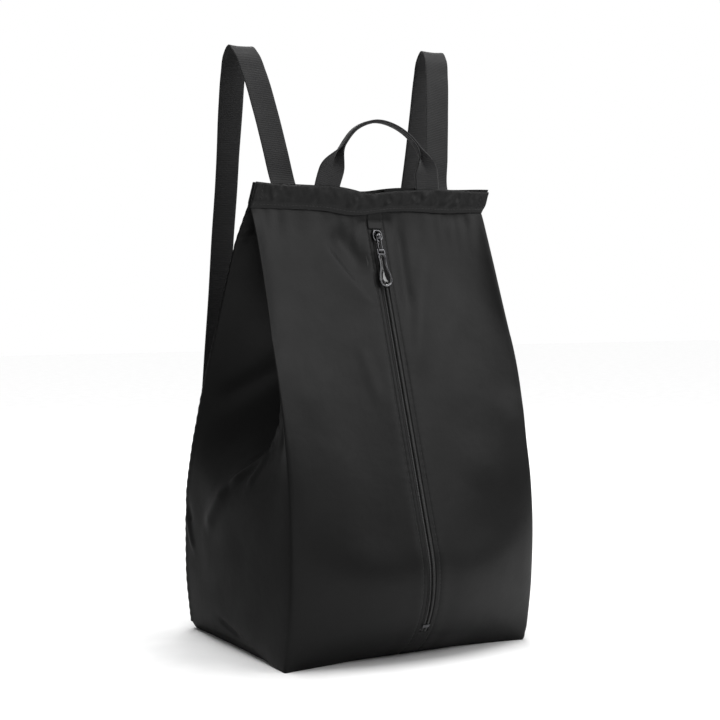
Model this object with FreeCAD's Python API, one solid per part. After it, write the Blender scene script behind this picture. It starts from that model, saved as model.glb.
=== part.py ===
import FreeCAD, Part
import os
import math

# Soft backpack-style shoe bag: a wedge-shaped nylon body that closes at the top in a sewn
# hem band, a long front zip, a short grab handle and two webbing shoulder straps.
# Millimetres, +Z up, front towards -Y, origin at the centre of the base on the floor.

os.makedirs("parts", exist_ok=True)

# ---- driving dimensions ----
WALL = 1.0                 # panel fabric with its turned edges
GUSSET_WALL = 0.8
HALF_W = 127.0             # half width of the bag at the hem and at the front edges
BASE_T = 1.2
BAND_Z = 396.0             # lower edge of the top band
TOP_Z = 420.0              # upper edge of the top band
HEM_FRONT = -31.3          # outer face of the front panel inside the band
HEM_BACK = -27.3           # outer face of the back panel inside the band
BAND_PLY = 1.2
WEB_W = 25.0               # webbing width
WEB_T = 1.5                # webbing thickness

# zip line in the side view: a straight stretch, then an arc that curls under the front
ZIP_TOP = (-30.4, 386.0)
ZIP_BEND = (-126.0, 99.5)
ZIP_R = 83.0
SLOPE = math.atan2(ZIP_TOP[0] - ZIP_BEND[0], ZIP_TOP[1] - ZIP_BEND[1])
ARC_C = (ZIP_BEND[0] + ZIP_R * math.cos(SLOPE), ZIP_BEND[1] - ZIP_R * math.sin(SLOPE))
ZIP_END_Z = 24.5
TAPE_T = 0.6
TAPE_IN = 0.9
TAPE_OUT = 14.0
COIL_IN = 0.8              # half of the slot that stands for the meshed loops
COIL_OUT = 3.0
COIL_H = 1.7
FOLD_X = 5.0               # folded fabric edge beside the coil
FOLD_GAP = 0.3             # fabric clear of the tape

# slider and pull, measured in the zip's own frame
SLIDER_Z = 374.7
SLIDER_HALF_W = 4.3
SLIDER_HALF_L = 5.2
PLATE_T = 1.1
CROWN_HALF_X = 0.9
BAR_R = 0.65
LINK_N = 4.4
LINK_TOP = -1.0
LINK_LEN = 13.5
PIN_R = 0.75
PIN_BORE = 0.83
BARREL_R = 1.5
TAB_LEN = 35.5
TAB_T = 1.8

HANDLE_Y = HEM_FRONT - WEB_T / 2
HANDLE_LEFT = -48.5
HANDLE_RIGHT = 57.0
STRAP_TOP_X = 82.0
STRAP_LOW_X = 101.0

# heights of the cross-sections that the panels are lofted through
STATIONS = [1.2, 10, 24.5, 42, 60, 80, 90, 99.5, 110, 130, 165, 200, 240, 280, 320, 350, 370, 380, 387, 396]

# profiles as (height, value): front edge, back edge, side tuck and half width at the back
FRONT_EDGE = [(1.2, -98), (60, -107), (110, -109), (150, -107), (200, -97), (250, -83),
              (300, -67), (345, -54), (384, -38), (396, HEM_FRONT)]
BACK_EDGE = [(1.2, 100), (60, 101), (123, 99), (172, 92), (222, 76), (286, 43),
             (340, 12), (372, -7), (396, HEM_BACK)]
TUCK = [(1.2, 0), (60, -4), (123, -4), (150, 2), (172, 14), (200, 36), (240, 60),
        (286, 80), (340, 92), (396, 98)]
BACK_HALF_W = [(1.2, 127), (60, 132), (123, 132.5), (172, 130), (222, 127.5), (396, 127)]


def profile(points, z):
    """Smooth value of a profile at height z (monotone cubic)."""
    n = len(points)
    if z <= points[0][0]:
        return points[0][1]
    if z >= points[-1][0]:
        return points[-1][1]
    slopes = [(points[i + 1][1] - points[i][1]) / (points[i + 1][0] - points[i][0])
              for i in range(n - 1)]
    tangents = [slopes[0]]
    for i in range(1, n - 1):
        a, b = slopes[i - 1], slopes[i]
        tangents.append(0.0 if a * b <= 0 else 2 * a * b / (a + b))
    tangents.append(slopes[-1])
    i = max(k for k in range(n - 1) if points[k][0] <= z)
    h = points[i + 1][0] - points[i][0]
    t = (z - points[i][0]) / h
    return ((2 * t ** 3 - 3 * t ** 2 + 1) * points[i][1]
            + (t ** 3 - 2 * t ** 2 + t) * h * tangents[i]
            + (3 * t ** 2 - 2 * t ** 3) * points[i + 1][1]
            + (t ** 3 - t ** 2) * h * tangents[i + 1])


def zip_y(z, n):
    """Y of the zip surface at height z, n millimetres outside the tape's face."""
    if z >= BAND_Z:
        return HEM_FRONT + WALL + FOLD_GAP - n
    if z >= ZIP_BEND[1]:
        run = ZIP_TOP[0] + (z - ZIP_TOP[1]) * math.tan(SLOPE)
        return run - n / math.cos(SLOPE)
    return ARC_C[0] - math.sqrt((ZIP_R + n) ** 2 - (z - ARC_C[1]) ** 2)


def spline(points):
    """Smooth edge through the points."""
    curve = Part.BSplineCurve()
    curve.interpolate([FreeCAD.Vector(*p) for p in points])
    return curve.toShape()


def line(a, b):
    return Part.makeLine(FreeCAD.Vector(*a), FreeCAD.Vector(*b))


def polygon(points):
    vectors = [FreeCAD.Vector(*p) for p in points]
    return Part.makePolygon(vectors + [vectors[0]])


def mirror_x(shape):
    return shape.mirror(FreeCAD.Vector(0, 0, 0), FreeCAD.Vector(1, 0, 0))


def with_hem(sections):
    """Loft through the sections and carry the last one straight up into the band."""
    body = Part.makeLoft(sections, True, False)
    hem = Part.Face(sections[-1]).extrude(FreeCAD.Vector(0, 0, TOP_Z - 1.0 - BAND_Z))
    return body.fuse(hem).removeSplitter()


def curved_strip(outer, inner):
    """Closed section between an outer and an inner curve with straight ends."""
    return Part.Wire([spline(outer), line(outer[-1], inner[-1]),
                      spline(inner[::-1]), line(inner[0], outer[0])])


def front_panel():
    """Right half of the front, from the zip's fold to the front edge."""
    sections = []
    for z in STATIONS:
        edge = profile(FRONT_EDGE, z)
        centre = zip_y(z, FOLD_GAP + WALL)
        middle = 0.6 * centre + 0.4 * edge
        behind = zip_y(z, FOLD_GAP)
        outer = [(FOLD_X, centre, z), (TAPE_OUT + 2, centre, z), (0.5 * HALF_W, middle, z),
                 (HALF_W, edge, z)]
        inner = [(FOLD_X, behind, z), (TAPE_OUT + 2, behind, z), (0.5 * HALF_W, middle + WALL, z),
                 (HALF_W, edge + WALL, z)]
        sections.append(curved_strip(outer, inner))
    return with_hem(sections)


def back_panel():
    sections = []
    for z in STATIONS:
        edge = profile(BACK_EDGE, z)
        half = profile(BACK_HALF_W, z)
        full = 3.0 * math.sin(math.pi * min(1.0, z / BAND_Z))
        outer = [(-half, edge, z), (0, edge + full, z), (half, edge, z)]
        inner = [(x, y - WALL, z) for x, y, z in outer]
        sections.append(curved_strip(outer, inner))
    return with_hem(sections)


def side_gusset():
    """Right side: bulges out low down and folds inwards towards the hem."""
    sections = []
    for z in STATIONS:
        front = profile(FRONT_EDGE, z) + WALL
        back = profile(BACK_EDGE, z) - WALL
        half_back = profile(BACK_HALF_W, z)
        tuck = profile(TUCK, z)
        middle = 0.5 * (front + back)
        lean = max(0.0, math.atan2(tuck, middle - front))
        cut_x = GUSSET_WALL * math.cos(lean)
        cut_y = GUSSET_WALL * math.sin(lean)
        fold = HALF_W - tuck
        depth = min(GUSSET_WALL / max(math.cos(lean), 0.1), 2.0)
        sections.append(polygon([
            (HALF_W, front + cut_y, z), (fold, middle, z), (half_back, back - cut_y, z),
            (half_back - cut_x, back, z), (fold - depth, middle, z), (HALF_W - cut_x, front, z)]))
    return with_hem(sections)


def base_panel():
    z = 0.0
    front = profile(FRONT_EDGE, BASE_T)
    back = profile(BACK_EDGE, BASE_T)
    centre = zip_y(BASE_T, FOLD_GAP + WALL)
    outline = Part.Wire([
        spline([(-HALF_W, front, z), (-0.5 * HALF_W, 0.6 * centre + 0.4 * front, z),
                (0, centre, z), (0.5 * HALF_W, 0.6 * centre + 0.4 * front, z), (HALF_W, front, z)]),
        line((HALF_W, front, z), (HALF_W, back, z)),
        line((HALF_W, back, z), (-HALF_W, back, z)),
        line((-HALF_W, back, z), (-HALF_W, front, z))])
    return Part.Face(outline).extrude(FreeCAD.Vector(0, 0, BASE_T))


def zip_point(arc, n):
    """Point on the curled part, arc radians past the bend and n outside the tape's face."""
    turn = SLOPE - arc
    return (ARC_C[0] - (ZIP_R + n) * math.cos(turn), ARC_C[1] + (ZIP_R + n) * math.sin(turn))


def along_zip(x0, x1, n0, n1, start, end_z):
    """Strip of the zip from start millimetres below its top to height end_z on the arc."""
    end = SLOPE - math.asin((end_z - ARC_C[1]) / ZIP_R)

    def edges(n):
        top = (x0, ZIP_TOP[0] - start * math.sin(SLOPE) - n * math.cos(SLOPE),
               ZIP_TOP[1] - start * math.cos(SLOPE) + n * math.sin(SLOPE))
        bend = (x0,) + zip_point(0.0, n)
        middle = (x0,) + zip_point(0.5 * end, n)
        tip = (x0,) + zip_point(end, n)
        arc = Part.Arc(FreeCAD.Vector(*bend), FreeCAD.Vector(*middle), FreeCAD.Vector(*tip))
        return line(top, bend), arc.toShape(), top, tip

    low_line, low_arc, low_top, low_tip = edges(n0)
    high_line, high_arc, high_top, high_tip = edges(n1)
    outline = Part.Wire(Part.__sortEdges__([
        low_line, low_arc, line(low_tip, high_tip), high_arc, high_line, line(high_top, low_top)]))
    return Part.Face(outline).extrude(FreeCAD.Vector(x1 - x0, 0, 0))


def zip_tape():
    return along_zip(TAPE_IN, TAPE_OUT, -TAPE_T, 0.0, 0.0, ZIP_END_Z - 2)


def zip_coil():
    return along_zip(COIL_IN, COIL_OUT, 0.0, COIL_H, 5.0, ZIP_END_Z)


def side_prism(points, half_x):
    """Outline in the side view, extruded to both sides of the middle."""
    face = Part.Face(polygon([(-half_x, y, z) for y, z in points]))
    return face.extrude(FreeCAD.Vector(2 * half_x, 0, 0))


def zip_top_tab():
    return side_prism([(-35.3, 395.8), (-34.3, 395.8), (-35.6, 381.5), (-36.6, 381.5)], 9.0)


def zip_end_piece(half_x, n0, n1, z_high, z_low):
    """Small piece that lies across the zip near its lower end."""
    high = SLOPE - math.asin((z_high - ARC_C[1]) / ZIP_R)
    low = SLOPE - math.asin((z_low - ARC_C[1]) / ZIP_R)
    return side_prism([zip_point(high, n0), zip_point(high, n1),
                       zip_point(low, n1), zip_point(low, n0)], half_x)


def in_zip_frame(shape, z):
    """Move a shape built upright round the origin to height z on the straight zip."""
    y = ZIP_TOP[0] + (z - ZIP_TOP[1]) * math.tan(SLOPE)
    shape.rotate(FreeCAD.Vector(0, 0, 0), FreeCAD.Vector(1, 0, 0), -math.degrees(SLOPE))
    shape.translate(FreeCAD.Vector(0, y, z))
    return shape


def box(x0, x1, y0, y1, z0, z1):
    return Part.makeBox(x1 - x0, y1 - y0, z1 - z0, FreeCAD.Vector(x0, y0, z0))


def x_rod(radius, half_x, n, z):
    """Round rod along X; n is the height above the tape's face, towards the front."""
    return Part.makeCylinder(radius, 2 * half_x, FreeCAD.Vector(-half_x, -n, z),
                             FreeCAD.Vector(1, 0, 0))


def slider_body():
    w, l = SLIDER_HALF_W, SLIDER_HALF_L
    upper_in = COIL_H + 0.4
    upper_out = upper_in + PLATE_T
    upper = box(-w, w, -upper_out, -upper_in, -l, l)
    upper = upper.makeFillet(1.6, [e for e in upper.Edges
                                   if abs(e.tangentAt(e.FirstParameter).y) > 0.9])
    lower = box(-w + 0.4, w - 0.4, TAPE_T + 0.4, TAPE_T + 0.4 + PLATE_T, -l, l)
    neck = box(-0.5, 0.5, -upper_in - 0.2, TAPE_T + 0.6, 0.4, l - 0.6)
    body = upper.fuse([lower, neck])
    for side in (-1, 1):
        outer = side * w
        inner = side * (COIL_OUT + 0.4)
        body = body.fuse(box(min(outer, inner), max(outer, inner), -upper_in - 0.2, -0.5,
                             -l + 1.7, l - 1.7))
    return in_zip_frame(body.removeSplitter(), SLIDER_Z)


def slider_crown():
    """Arched bridge on the slider; the link's bar passes under it."""
    foot = COIL_H + 0.4 + PLATE_T

    def arch(half_l, height):
        a = FreeCAD.Vector(-CROWN_HALF_X, -foot, -half_l)
        b = FreeCAD.Vector(-CROWN_HALF_X, -foot - height, 0)
        c = FreeCAD.Vector(-CROWN_HALF_X, -foot, half_l)
        return Part.Face(Part.Wire([Part.Arc(a, b, c).toShape(), Part.makeLine(c, a)]))

    bridge = arch(4.3, 3.5).cut(arch(3.1, 2.3)).extrude(FreeCAD.Vector(2 * CROWN_HALF_X, 0, 0))
    return in_zip_frame(bridge, SLIDER_Z)


def pull_link():
    side_x = CROWN_HALF_X + 0.35 + BAR_R
    low = LINK_TOP - LINK_LEN
    link = x_rod(BAR_R, side_x, LINK_N, LINK_TOP)
    for side in (-1, 1):
        foot = FreeCAD.Vector(side * side_x, -LINK_N, low + BARREL_R - 0.4)
        link = link.fuse(Part.makeCylinder(BAR_R, LINK_LEN - BARREL_R + 0.4, foot))
        link = link.fuse(Part.makeSphere(BAR_R, FreeCAD.Vector(side * side_x, -LINK_N, LINK_TOP)))
    link = link.fuse(x_rod(BARREL_R, side_x + BAR_R, LINK_N, low))
    link = link.cut(x_rod(PIN_BORE, side_x + BAR_R + 1, LINK_N, low))
    return in_zip_frame(link.removeSplitter(), SLIDER_Z)


def pull_tab():
    """Teardrop pull with a dished face, hung on the link's barrel by a fork and pin."""
    low = LINK_TOP - LINK_LEN
    y = -LINK_N - TAB_T / 2
    fork = CROWN_HALF_X + 0.35 + 2 * BAR_R + 0.35
    ear = fork + 1.2

    def teardrop(inset, depth):
        top = low - 3.2 - inset
        tip = low - TAB_LEN + inset
        neck = ear - inset
        belly = 6.7 - inset
        right = spline([(neck, depth, top), (neck - 0.4, depth, low - 12),
                        (belly - 0.3, depth, low - 25), (belly, depth, low - 29),
                        (belly * 0.72, depth, tip + 1.7), (0, depth, tip)])
        left = spline([(0, depth, tip), (-belly * 0.72, depth, tip + 1.7),
                       (-belly, depth, low - 29), (-belly + 0.3, depth, low - 25),
                       (-neck + 0.4, depth, low - 12), (-neck, depth, top)])
        return Part.Face(Part.Wire([right, left, line((-neck, depth, top), (neck, depth, top))]))

    tab = teardrop(0, y).extrude(FreeCAD.Vector(0, TAB_T, 0))
    tab = tab.cut(teardrop(1.5, y).extrude(FreeCAD.Vector(0, 0.7, 0)))
    for side in (-1, 1):
        a, b = sorted((side * fork, side * ear))
        tab = tab.fuse(box(a, b, y, y + TAB_T, low - 3.4, low))
        tab = tab.fuse(Part.makeCylinder(TAB_T / 2, b - a, FreeCAD.Vector(a, -LINK_N, low),
                                         FreeCAD.Vector(1, 0, 0)))
    tab = tab.fuse(x_rod(PIN_R, ear - 0.2, LINK_N, low))
    return in_zip_frame(tab.removeSplitter(), SLIDER_Z)


def band(y0, y1):
    return box(-HALF_W, HALF_W, y0, y1, BAND_Z, TOP_Z)


def handle_end(x):
    return box(x - WEB_W / 2, x + WEB_W / 2, HEM_FRONT - WEB_T, HEM_FRONT,
               BAND_Z + 3, TOP_Z)


def section_across(centre, along, across, width, depth):
    """Rectangle across a path: width along `across`, depth square to it."""
    along = FreeCAD.Vector(along).normalize()
    across = FreeCAD.Vector(across)
    across = (across - along * across.dot(along)).normalize()
    third = along.cross(across).normalize()
    c = FreeCAD.Vector(*centre)
    corners = [c + across * (i * width / 2) + third * (j * depth / 2)
               for i, j in ((-1, -1), (1, -1), (1, 1), (-1, 1))]
    return Part.makePolygon(corners + [corners[0]])


def grab_handle():
    """Webbing arch: flat where it leaves the band, folded in half over the grip."""
    path = Part.BSplineCurve()
    points = [(HANDLE_LEFT, 420.9), (-46, 437), (-36, 455), (-20, 474), (0, 481.2),
              (24, 475.5), (45, 460), (55, 440), (HANDLE_RIGHT, 420.9)]
    up = FreeCAD.Vector(0, 0, 1)
    path.interpolate([FreeCAD.Vector(x, HANDLE_Y, z) for x, z in points],
                     InitialTangent=up, FinalTangent=-up)
    first, last = path.FirstParameter, path.LastParameter
    count = 32
    sections = []
    for i in range(count + 1):
        step = i / count
        u = first + (last - first) * step
        at = path.value(u)
        along = path.tangent(u)[0]
        fold = min(1.0, min(step, 1 - step) / 0.3)
        fold = fold * fold * (3 - 2 * fold)
        width = WEB_W + (2 * WEB_T - WEB_W) * fold
        depth = WEB_T + (WEB_W / 2 - WEB_T) * fold
        across = along.cross(FreeCAD.Vector(0, 1, 0))
        sections.append(section_across(at, along, across, width, depth))
    return Part.makeLoft(sections, True, True)


def section_step(i, spacing, shares):
    """Share of the path at section i, with its own count of sections in each stretch."""
    for count, low, high in zip(spacing, shares, shares[1:]):
        if i <= count:
            return low + (high - low) * i / count
        i -= count
    return shares[-1]


def shoulder_strap():
    """Right strap: up from the hem's back, over and down behind the bag to the base."""
    path = Part.BSplineCurve()
    points = [(STRAP_TOP_X, -23.4, 399.8), (82, -16, 409), (82.5, -7.5, 424), (87, -1, 454),
              (93, 7, 492), (99.5, 17, 530), (103, 25, 548), (104.5, 34, 555.2),
              (105, 42.5, 548), (105, 47.5, 532), (104.3, 54, 499), (103.2, 61, 462),
              (102, 69, 424), (101.5, 80, 374), (101, 90, 318), (101, 98, 270),
              (101, 105.5, 215), (101, 112, 150), (101, 113.5, 90), (101, 110, 50),
              (STRAP_LOW_X, 105.0, 24.5)]
    path.interpolate([FreeCAD.Vector(*p) for p in points])
    first, last = path.FirstParameter, path.LastParameter
    spacing = (24, 20, 30, 30)     # sections before, over and after the bend at the top
    sections = []
    for i in range(sum(spacing) + 1):
        step = section_step(i, spacing, (0.0, 0.19, 0.28, 0.6, 1.0))
        u = first + (last - first) * step
        reach = min(step, 1 - step) * 750
        width = WEB_W * min(1.0, math.sqrt(max(0.03, reach / 14)))
        sections.append(section_across(path.value(u), path.tangent(u)[0],
                                       FreeCAD.Vector(1, 0, 0), width, WEB_T))
    return Part.makeLoft(sections, True, True)


def strap_top_end(back):
    """Upper strap end, sewn flat on the slope of the back panel under the band."""
    half = WEB_W / 2
    end = Part.makeLoft([polygon([(STRAP_TOP_X - half, y - 3, z), (STRAP_TOP_X + half, y - 3, z),
                                  (STRAP_TOP_X + half, y + WEB_T + 0.9, z),
                                  (STRAP_TOP_X - half, y + WEB_T + 0.9, z)])
                         for y, z in [(profile(BACK_EDGE, z), z) for z in (374, 384, 395.8)]],
                        True, True)
    return outer_piece(end.cut(back))


def strap_base_tab(back):
    """Short webbing tab sewn on the lower edge of the back panel."""
    half = WEB_W / 2
    tab = box(STRAP_LOW_X - half, STRAP_LOW_X + half, 98, 104.6, BASE_T, 22)
    return outer_piece(tab.cut(back))


def outer_piece(shape):
    """Of the solids left by a cut, the one furthest back."""
    return max(shape.Solids, key=lambda s: s.CenterOfMass.y)


def save(name, shape):
    solid = shape.Solids[0] if len(shape.Solids) == 1 else shape
    print(name, "solids", len(shape.Solids), "valid", shape.isValid(),
          "volume", round(shape.Volume, 1))
    solid.exportStep("parts/" + name + ".step")


back = back_panel()
handle_ends = {"left": handle_end(HANDLE_LEFT), "right": handle_end(HANDLE_RIGHT)}

singles = {
    "back_panel": back,
    "base_panel": base_panel(),
    "top_band_front": band(HEM_FRONT - WEB_T - BAND_PLY, HEM_FRONT).cut(
        handle_ends["left"].fuse(handle_ends["right"])),
    "top_band_back": band(HEM_BACK, HEM_BACK + BAND_PLY),
    "zip_top_tab": zip_top_tab(),
    "zip_bottom_tab": zip_end_piece(9.0, 2.0, 3.0, 27.5, 12.0),
    "zip_bottom_stop": zip_end_piece(3.4, COIL_H + 0.02, COIL_H + 0.7, 33.5, 30.8),
    "slider_body": slider_body(),
    "slider_crown": slider_crown(),
    "pull_link": pull_link(),
    "pull_tab": pull_tab(),
    "handle_end_left": handle_ends["left"],
    "handle_end_right": handle_ends["right"],
    "grab_handle": grab_handle(),
}
pairs = {
    "front_panel": front_panel(),
    "side_gusset": side_gusset(),
    "zip_tape": zip_tape(),
    "zip_coil": zip_coil(),
    "shoulder_strap": shoulder_strap(),
    "strap_top_end": strap_top_end(back),
    "strap_base_tab": strap_base_tab(back),
}

for name, shape in singles.items():
    save(name, shape)
for name, shape in pairs.items():
    save(name + "_right", shape)
    save(name + "_left", mirror_x(shape))
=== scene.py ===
import math

import bpy
import bmesh
import numpy as np
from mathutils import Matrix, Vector, noise


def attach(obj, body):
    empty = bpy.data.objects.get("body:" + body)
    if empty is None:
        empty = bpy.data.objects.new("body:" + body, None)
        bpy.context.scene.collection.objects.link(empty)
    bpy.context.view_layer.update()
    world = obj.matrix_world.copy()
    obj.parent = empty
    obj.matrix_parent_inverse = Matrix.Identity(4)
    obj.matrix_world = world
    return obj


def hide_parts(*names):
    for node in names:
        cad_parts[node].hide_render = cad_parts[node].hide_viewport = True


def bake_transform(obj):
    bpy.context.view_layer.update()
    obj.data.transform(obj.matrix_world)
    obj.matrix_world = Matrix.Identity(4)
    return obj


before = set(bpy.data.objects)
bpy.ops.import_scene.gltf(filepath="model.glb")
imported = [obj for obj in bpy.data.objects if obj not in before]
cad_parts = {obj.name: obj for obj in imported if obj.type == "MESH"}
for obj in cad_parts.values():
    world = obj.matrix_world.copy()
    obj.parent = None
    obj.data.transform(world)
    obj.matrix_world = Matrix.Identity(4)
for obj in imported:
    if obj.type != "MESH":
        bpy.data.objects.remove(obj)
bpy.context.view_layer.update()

# ---- sizes in millimetres, in the CAD frame ----
MM = 0.001
HALF_W = 127.0  # half the body's width
SIDE = 200.0  # gusset width, folded in half at the hem
FABRIC_H = 442.0  # cut height of the body fabric
HEM_START = 384.0  # above this the zip's surface turns in to the band
BAND_Z = 396.0  # lower edge of the top band
TOP_Z = 420.0  # upper edge of the top band
HEM_FRONT = -31.3  # y of the fabric inside the band, front and back
HEM_BACK = -27.3
ZIP_TOP = (-30.4, 386.0)  # (y, z) where the straight part of the zip starts and ends
ZIP_BEND = (-126.0, 99.5)
ZIP_R = 83.0  # radius of the zip's lower bend
SLOPE = math.atan2(ZIP_TOP[0] - ZIP_BEND[0], ZIP_TOP[1] - ZIP_BEND[1])
ARC_C = (ZIP_BEND[0] + ZIP_R * math.cos(SLOPE), ZIP_BEND[1] - ZIP_R * math.sin(SLOPE))
FOLD_X = 5.0  # folded edge of the front panel beside the zip
SEAM_X = 8.6  # stitch line beside the zip
CELL = 6.0  # height of a cell of the simulated fabric
AROUND = 2 * (2 * HALF_W + SIDE)  # the fabric's whole way round
ROWS = 200  # rows of the finished fabric mesh

# cloth simulation and what follows it
FRAMES = 45
CLOTH = {
    "quality": 8, "mass": 0.15, "tension_stiffness": 25, "compression_stiffness": 5,
    "shear_stiffness": 8, "bending_stiffness": 10, "tension_damping": 12,
    "compression_damping": 12, "shear_damping": 8, "bending_damping": 2,
    "vertex_group_mass": "pin", "use_pressure": True, "uniform_pressure_force": 0.6,
}
RELAX = 6  # passes that even out the smallest ripples
LAYER = 1.2  # room between two folded layers

# outlines of the body: (height, y) of its front and back edges, (height, half width) of its back
FRONT_EDGE = [(0, -98), (60, -107), (110, -109), (150, -107), (200, -97), (250, -83),
              (300, -67), (345, -54), (384, -38), (396, HEM_FRONT)]
BACK_EDGE = [(0, 100), (60, 101), (123, 99), (172, 92), (222, 76), (286, 43),
             (340, 15), (372, -4), (396, HEM_BACK)]
BACK_HALF_W = [(0, 127), (60, 132), (123, 132.5), (172, 130), (222, 127.5), (396, 127)]


def hermite(t, h, first, leaving, last, arriving):
    """Cubic between two values with given slopes, at share t of a gap of length h."""
    return ((2 * t ** 3 - 3 * t ** 2 + 1) * first + (t ** 3 - 2 * t ** 2 + t) * h * leaving
            + (3 * t ** 2 - 2 * t ** 3) * last + (t ** 3 - t ** 2) * h * arriving)


def profile(points, z):
    """Smooth value of a (height, value) profile at height z."""
    zs = [p[0] for p in points]
    vs = [p[1] for p in points]
    if z <= zs[0]:
        return vs[0]
    if z >= zs[-1]:
        return vs[-1]
    i = max(k for k in range(len(zs) - 1) if zs[k] <= z)
    slopes = [(vs[k + 1] - vs[k]) / (zs[k + 1] - zs[k]) for k in range(len(zs) - 1)]

    def tangent(k):
        if k == 0:
            return slopes[0]
        if k == len(zs) - 1:
            return slopes[-1]
        a, b = slopes[k - 1], slopes[k]
        return 0.0 if a * b <= 0 else 2 * a * b / (a + b)

    h = zs[i + 1] - zs[i]
    return hermite((z - zs[i]) / h, h, vs[i], tangent(i), vs[i + 1], tangent(i + 1))


def zip_y(z, n=0.0):
    """Y of the zip surface at height z, n outside the face of the tape."""
    if z >= ZIP_BEND[1]:
        run = ZIP_TOP[0] + (z - ZIP_TOP[1]) * math.tan(SLOPE) - n / math.cos(SLOPE)
        if z < HEM_START:
            return run
        t = smooth((z - HEM_START) / (BAND_Z - HEM_START))
        return run * (1 - t) + (HEM_FRONT + 1.3 - n) * t
    return ARC_C[0] - math.sqrt((ZIP_R + n) ** 2 - (z - ARC_C[1]) ** 2)


def smooth(t):
    t = np.clip(t, 0.0, 1.0)
    return t * t * (3 - 2 * t)


def section(u, z):
    """Point of the body's surface at height z, u along the fabric from the zip."""
    side = 1 if u >= 0 else -1
    a = abs(u)
    front = profile(FRONT_EDGE, z)
    back = profile(BACK_EDGE, z)
    wide = profile(BACK_HALF_W, z)
    if a <= HALF_W:
        t = max(0.0, (a - 16) / (HALF_W - 16))
        power = 1.0 + 0.7 * smooth((170 - z) / 80)
        centre = zip_y(z, 1.0)
        return side * a, centre + (front - centre) * t ** power, z
    if a >= HALF_W + SIDE:
        t = 1 - (a - HALF_W - SIDE) / HALF_W
        full = 4.0 * math.sin(math.pi * min(1.0, z / BAND_Z)) * (1 - t * t)
        return side * wide * t, back + full, z
    s = (a - HALF_W) / SIDE
    half = max(1.0, 0.5 * (back - front))
    tuck = math.sqrt(max(0.0, (SIDE / 2) ** 2 - half ** 2))
    tuck *= smooth((z - 130) / 70)
    v_shape = 1 - abs(2 * s - 1) - 0.06 * math.exp(-((s - 0.5) / 0.08) ** 2)
    bulge = 5.0 * math.sin(math.pi * s) * math.sin(math.pi * min(1.0, z / 190))
    x = HALF_W + (wide - HALF_W) * s - tuck * v_shape + bulge
    return side * x, front + (back - front) * s, z


def box_point(u, v):
    """The same fabric point on the cut pattern, stood up as a plain box."""
    side = 1 if u >= 0 else -1
    a = abs(u)
    if a <= HALF_W:
        return side * a, -SIDE / 2, v
    if a <= HALF_W + SIDE:
        return side * HALF_W, -SIDE / 2 + (a - HALF_W), v
    return side * (2 * HALF_W + SIDE - a), SIDE / 2, v


def half_columns(near, front, gusset, back):
    """Places along the fabric, from the zip round one side to the middle of the back."""
    spans = ((near[-1], HALF_W, front), (HALF_W, HALF_W + SIDE, gusset),
             (HALF_W + SIDE, AROUND / 2, back))
    return np.concatenate([near] + [np.linspace(a, b, count)[1:] for a, b, count in spans])


def column_heights(u, rows):
    """Heights that divide the column at u into equal lengths of fabric."""
    zs = np.linspace(0, TOP_Z, 211)
    pts = np.array([section(u, z) for z in zs])
    run = run_length(pts)
    return np.interp(np.linspace(0, run[-1], rows + 1), run, zs)


def body_fabric():
    """The body's fabric as one tube with its base, settled by cloth simulation."""
    half = half_columns([FOLD_X, 9.0, 13.0, 18.0], 19, 35, 22)
    us = np.concatenate([-half[:-1][::-1], half])
    rows = int(FABRIC_H / CELL)
    start = np.zeros((len(us), rows + 1, 3))
    rest = np.zeros_like(start)
    for i, u in enumerate(us):
        for j, z in enumerate(column_heights(u, rows)):
            start[i, j] = section(u, z)
            rest[i, j] = box_point(u, FABRIC_H * j / rows)
    n, m = len(us), rows + 1
    faces = [(i * m + j, ((i + 1) % n) * m + j, ((i + 1) % n) * m + j + 1, i * m + j + 1)
             for i in range(n) for j in range(rows)]
    faces.append([i * m for i in range(n)][::-1])
    mesh = bpy.data.meshes.new("fabric")
    mesh.from_pydata((start.reshape(-1, 3) * MM).tolist(), [], faces)
    obj = new_object("fabric", mesh)
    obj.shape_key_add(name="Basis")
    key = obj.shape_key_add(name="cut")
    key.data.foreach_set("co", (rest.reshape(-1, 3) * MM).ravel())
    group = obj.vertex_groups.new(name="pin")
    for i, u in enumerate(us):
        for j in range(m):
            group.add([i * m + j], hold(abs(u), start[i, j, 2]), "REPLACE")
    settle(obj, key)
    shape = np.zeros(n * m * 3)
    done = obj.evaluated_get(bpy.context.evaluated_depsgraph_get())
    done.data.vertices.foreach_get("co", shape)
    bpy.data.objects.remove(obj)
    bpy.context.scene.frame_set(1)
    return us, shape.reshape(n, m, 3)


def hold(a, z):
    """How firmly a point keeps its designed place: 1 where it is sewn, near 0 where it hangs."""
    if z <= 0.5 or z > BAND_Z - 1 or a < 14:
        return 1.0
    front_edge = 0.5 * math.exp(-((a - HALF_W) / 9) ** 2)
    back_edge = 0.6 * math.exp(-((a - HALF_W - SIDE) / 9) ** 2)
    if a < HALF_W:
        base = 0.03
    elif a < HALF_W + SIDE:
        base = 0.01 + 0.02 * smooth((190 - z) / 80)
    else:
        base = 0.05
    return min(0.7, base + front_edge + back_edge)


def settle(obj, key):
    """Let the fabric settle between its seams, with the cut pattern as its resting shape."""
    mod = obj.modifiers.new("cloth", "CLOTH")
    c = mod.settings
    for setting, value in CLOTH.items():
        setattr(c, setting, value)
    c.rest_shape_key = key
    c.effector_weights.gravity = 0.3
    mod.collision_settings.use_collision = False
    mod.collision_settings.use_self_collision = False
    scene = bpy.context.scene
    scene.frame_start = 1
    scene.frame_end = FRAMES
    mod.point_cache.frame_start = 1
    mod.point_cache.frame_end = FRAMES
    for f in range(1, FRAMES + 1):
        scene.frame_set(f)


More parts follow.
